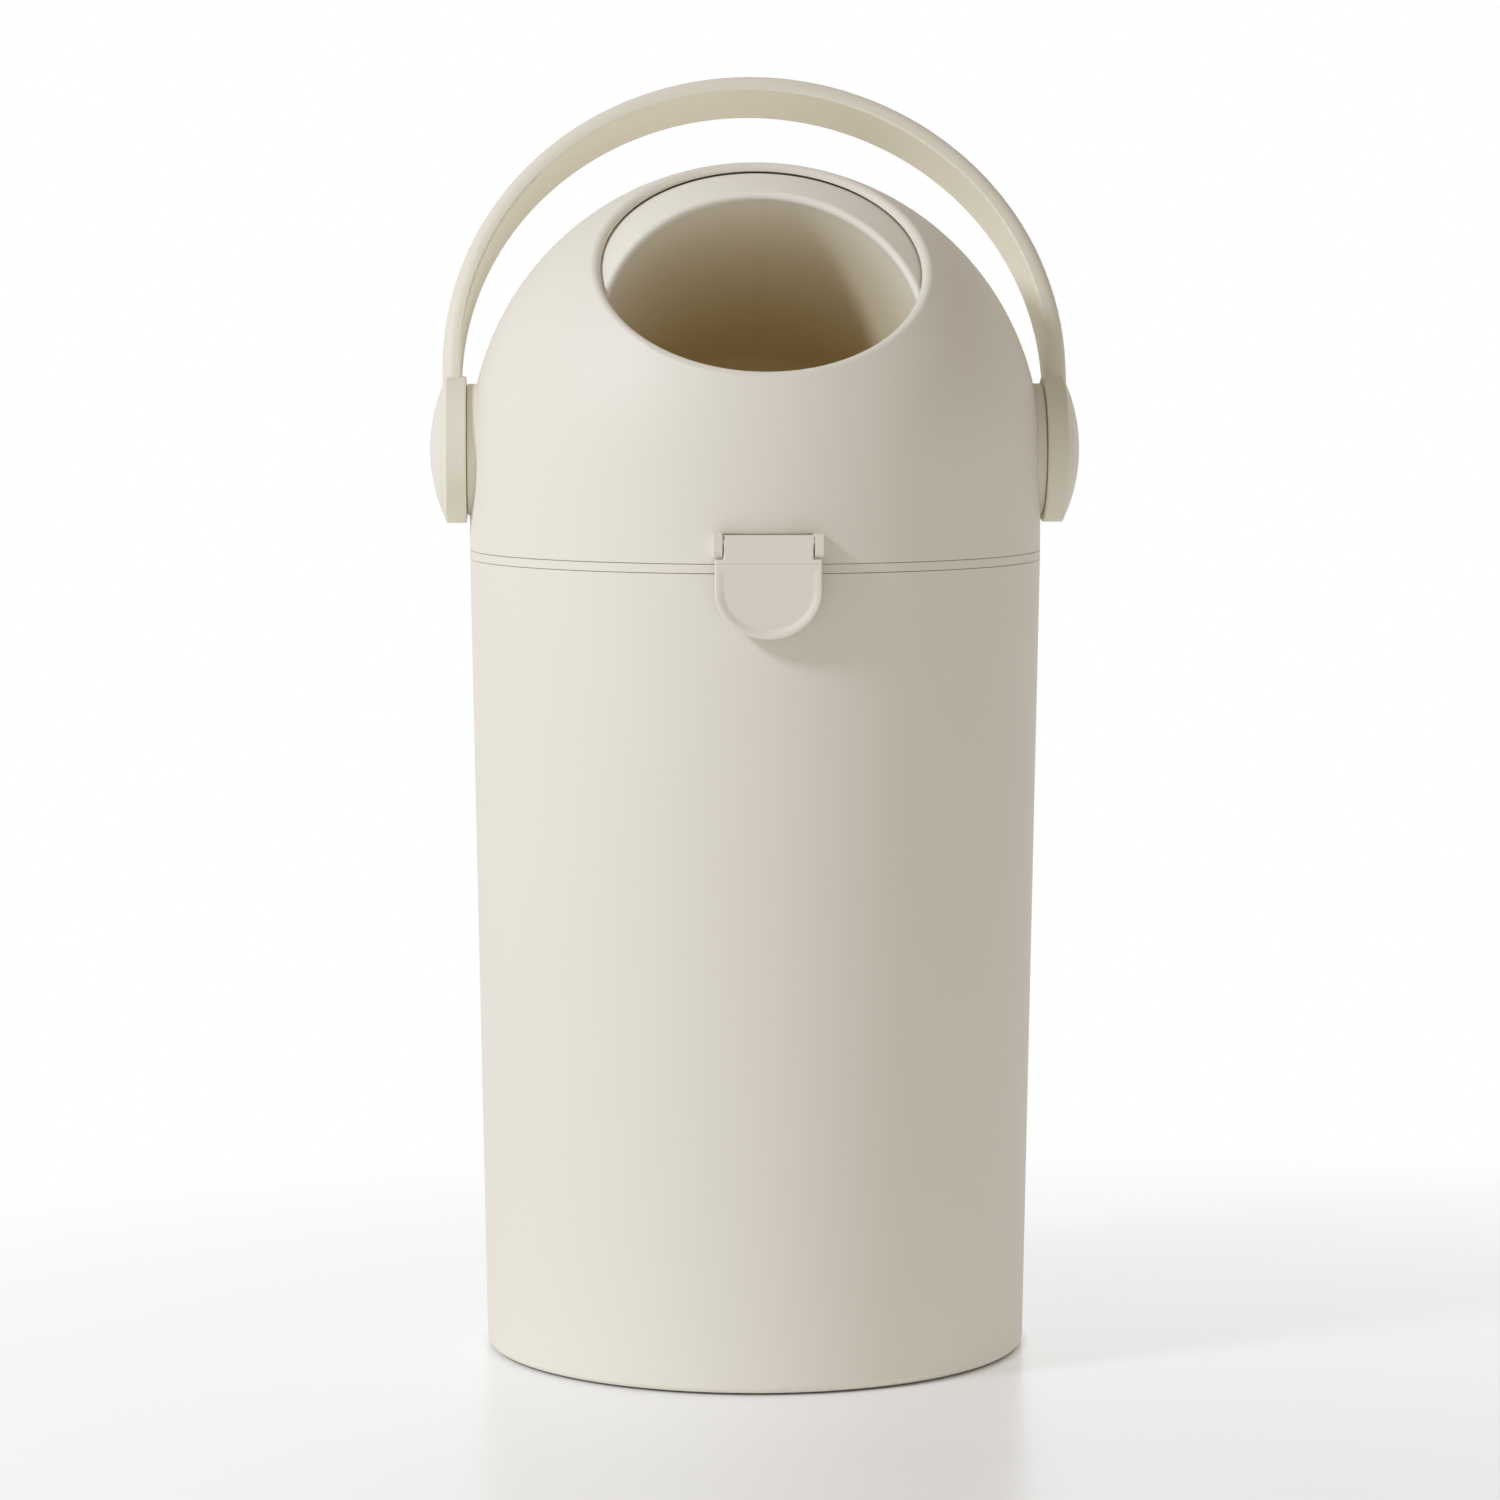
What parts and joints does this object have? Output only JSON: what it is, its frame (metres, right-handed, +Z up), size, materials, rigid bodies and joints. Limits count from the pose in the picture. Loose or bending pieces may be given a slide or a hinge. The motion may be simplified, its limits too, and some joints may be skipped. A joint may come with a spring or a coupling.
{
  "type": "diaper pail",
  "caption": "Round free-standing diaper pail: tapered body, bag ring, domed lid with a tilted mouth, a ball drum with a cup turned by a bail handle, and a front latch flap.",
  "frame": {"origin": "on the floor, under the vertical axis of the pail", "axes": "+Z up; the mouth and the latch face -Y; the handle's axle lies along X"},
  "size_m": [0.3072, 0.2883, 0.6042],
  "materials": {
    "shell_plastic": "fine matt, cream",
    "drum_plastic": "fine matt, cream",
    "inner_plastic": "matt, cream",
    "bearing_plastic": "smooth, off-white",
    "seal_rubber": "soft, warm grey",
    "grip_rubber": "matt, dark grey",
    "screw_steel": "plain, zinc plated"
  },
  "bodies": {
    "pail": {"pail_body": "shell_plastic", "base_grip_ring": "grip_rubber", "lid_hinge_pin": "screw_steel"},
    "ring": {"bag_ring": "shell_plastic", "lid_gasket": "seal_rubber"},
    "lid": {"lid_dome": "shell_plastic", "mouth_seal": "seal_rubber", "seal_carrier": "inner_plastic", "drum_wiper_seal": "seal_rubber", "carrier_screws": "screw_steel", "pivot_bush_left": "bearing_plastic", "pivot_bush_right": "bearing_plastic", "axle_seal_left": "seal_rubber", "axle_seal_right": "seal_rubber", "latch_pin": "screw_steel"},
    "drum": {"drum_bowl": "drum_plastic", "drum_back": "drum_plastic", "axle_left": "bearing_plastic", "axle_right": "bearing_plastic", "handle": "shell_plastic", "hub_screw_left": "screw_steel", "hub_screw_right": "screw_steel", "hub_cap_left": "shell_plastic", "hub_cap_right": "shell_plastic"},
    "latch": {"latch_flap": "shell_plastic"}
  },
  "joints": [
    {"name": "lid_open", "type": "hinge", "parent": "pail", "child": "lid", "pos_m": [0, 0.1402, 0.378], "axis": [-1, 0, 0], "range_deg": [0, 95]},
    {"name": "bag_ring_lift", "type": "hinge", "parent": "pail", "child": "ring", "pos_m": [0, 0.1402, 0.378], "axis": [-1, 0, 0], "range_deg": [0, 47.5]},
    {"name": "handle_turn", "type": "hinge", "parent": "lid", "child": "drum", "pos_m": [0, 0, 0.4272], "axis": [1, 0, 0], "range_deg": [-19, 120]},
    {"name": "latch_swing", "type": "hinge", "parent": "lid", "child": "latch", "pos_m": [0, -0.1395, 0.3902], "axis": [-1, 0, 0], "range_deg": [0, 45]}
  ],
  "couplings": [
    {"joint": "bag_ring_lift", "follows": "lid_open", "ratio": 0.5}
  ]
}
